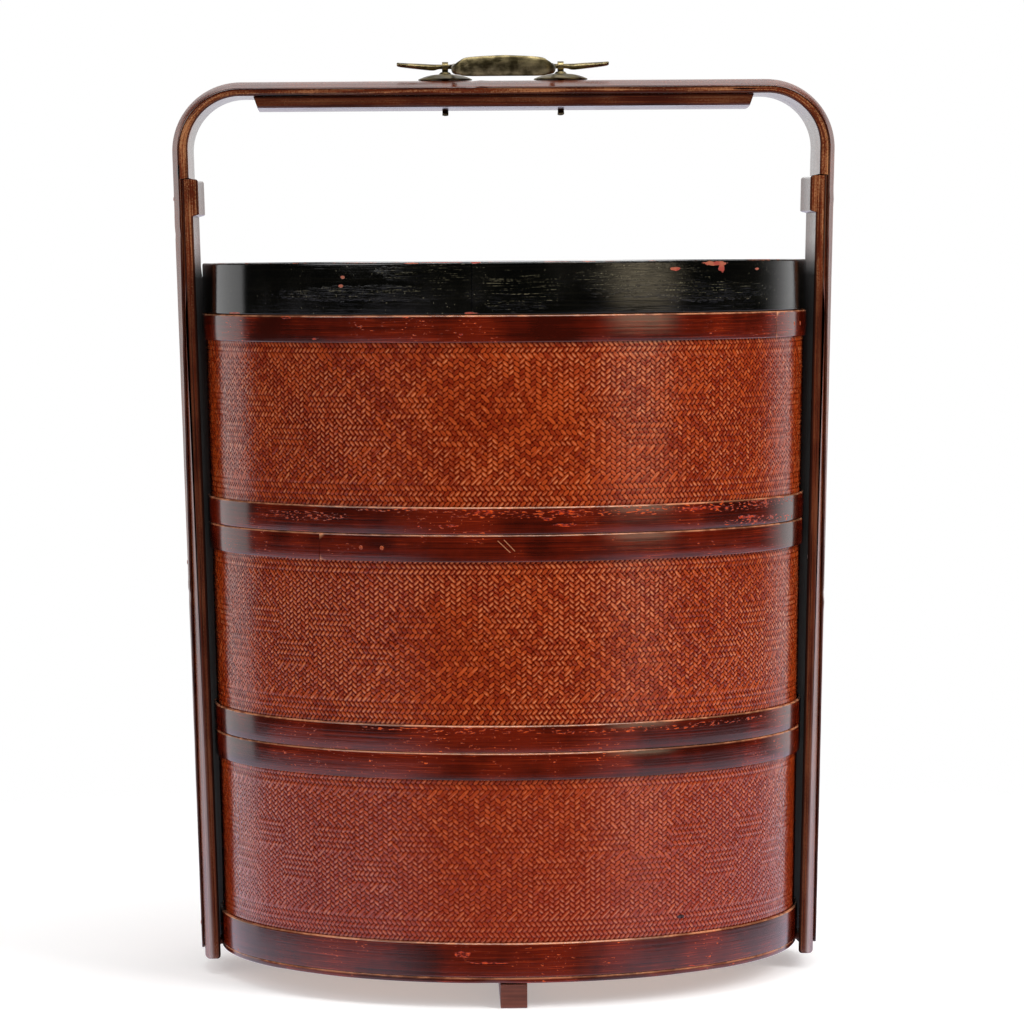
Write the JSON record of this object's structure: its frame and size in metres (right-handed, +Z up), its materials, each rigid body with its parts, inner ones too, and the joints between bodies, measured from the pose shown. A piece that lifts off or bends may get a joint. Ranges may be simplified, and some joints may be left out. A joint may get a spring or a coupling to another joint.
{
  "type": "tiered food basket",
  "caption": "Round tiered food basket: woven bamboo tiers with lapped hoops stack under a lid, carried in a bent bamboo frame with a folding brass handle.",
  "frame": {"origin": "on the floor, under the middle of the round body", "axes": "+Z up; the bail and the two legs span X; the front, where the brass handle lies folded, faces -Y"},
  "size_m": [0.4492, 0.4112, 0.6185],
  "materials": {
    "lacquered_bamboo": "bent split bamboo under worn brown-red lacquer, satin with glossy rounded faces",
    "hoop_lacquer": "bamboo strip under dark red-brown lacquer, worn through to orange and pale wood on its edges",
    "woven_splits": "fine twill weave of bamboo splits under red-orange lacquer",
    "plain_bamboo": "bare aged bamboo and wood, dull",
    "black_lacquer": "glossy black lacquer on a bent band, with small chips to red",
    "old_brass": "hammered brass with an olive-brown patina, brighter where hands rub",
    "peg_bamboo": "end grain of small bamboo pegs, orange-brown"
  },
  "bodies": {
    "frame": {"bail_strip": "lacquered_bamboo", "bail_splint": "lacquered_bamboo", "left_leg": "lacquered_bamboo", "right_leg": "lacquered_bamboo", "left_leg_pin_1": "peg_bamboo", "left_leg_pin_2": "peg_bamboo", "left_leg_pin_3": "peg_bamboo", "right_leg_pin_1": "peg_bamboo", "right_leg_pin_2": "peg_bamboo", "right_leg_pin_3": "peg_bamboo", "foot_rail": "plain_bamboo", "side_rail": "plain_bamboo", "rail_peg_1": "peg_bamboo", "rail_peg_2": "peg_bamboo", "rail_peg_3": "peg_bamboo", "left_rosette": "old_brass", "right_rosette": "old_brass", "left_eye_pin": "old_brass", "right_eye_pin": "old_brass"},
    "handle": {"brass_handle": "old_brass"},
    "bottom_tier": {"bottom_woven_wall": "woven_splits", "bottom_lining": "plain_bamboo", "bottom_top_hoop": "hoop_lacquer", "bottom_top_hoop_peg_1": "peg_bamboo", "bottom_top_hoop_peg_2": "peg_bamboo", "bottom_base_hoop": "hoop_lacquer", "bottom_base_hoop_peg_1": "peg_bamboo", "bottom_base_hoop_peg_2": "peg_bamboo", "bottom_foot_ring": "plain_bamboo", "bottom_floor_panel": "plain_bamboo", "bottom_floor_batten": "plain_bamboo"},
    "middle_tier": {"middle_woven_wall": "woven_splits", "middle_lining": "plain_bamboo", "middle_top_hoop": "hoop_lacquer", "middle_top_hoop_peg_1": "peg_bamboo", "middle_top_hoop_peg_2": "peg_bamboo", "middle_bottom_hoop": "hoop_lacquer", "middle_bottom_hoop_peg_1": "peg_bamboo", "middle_bottom_hoop_peg_2": "peg_bamboo", "middle_foot_ring": "plain_bamboo", "middle_floor_panel": "plain_bamboo", "middle_floor_batten": "plain_bamboo"},
    "top_tier": {"top_woven_wall": "woven_splits", "top_lining": "plain_bamboo", "top_top_hoop": "hoop_lacquer", "top_top_hoop_peg_1": "peg_bamboo", "top_top_hoop_peg_2": "peg_bamboo", "top_bottom_hoop": "hoop_lacquer", "top_bottom_hoop_peg_1": "peg_bamboo", "top_bottom_hoop_peg_2": "peg_bamboo", "top_foot_ring": "plain_bamboo", "top_floor_panel": "plain_bamboo", "top_floor_batten": "plain_bamboo"},
    "lid": {"lid_band": "black_lacquer", "lid_panel": "black_lacquer", "lid_lining": "plain_bamboo", "lid_batten": "plain_bamboo"}
  },
  "joints": [
    {"name": "handle_hinge", "type": "hinge", "parent": "frame", "child": "handle", "pos_m": [0, 0, 0.6125], "axis": [-1, 0, 0], "range_deg": [0, 180]},
    {"name": "bottom_tier_lift", "type": "slide", "parent": "frame", "child": "bottom_tier", "axis": [0, 0, 1], "range_m": [0, 0.01]},
    {"name": "middle_tier_lift", "type": "slide", "parent": "bottom_tier", "child": "middle_tier", "axis": [0, 0, 1], "range_m": [0, 0.012]},
    {"name": "top_tier_lift", "type": "slide", "parent": "middle_tier", "child": "top_tier", "axis": [0, 0, 1], "range_m": [0, 0.012]},
    {"name": "lid_lift", "type": "slide", "parent": "top_tier", "child": "lid", "axis": [0, 0, 1], "range_m": [0, 0.058]}
  ]
}
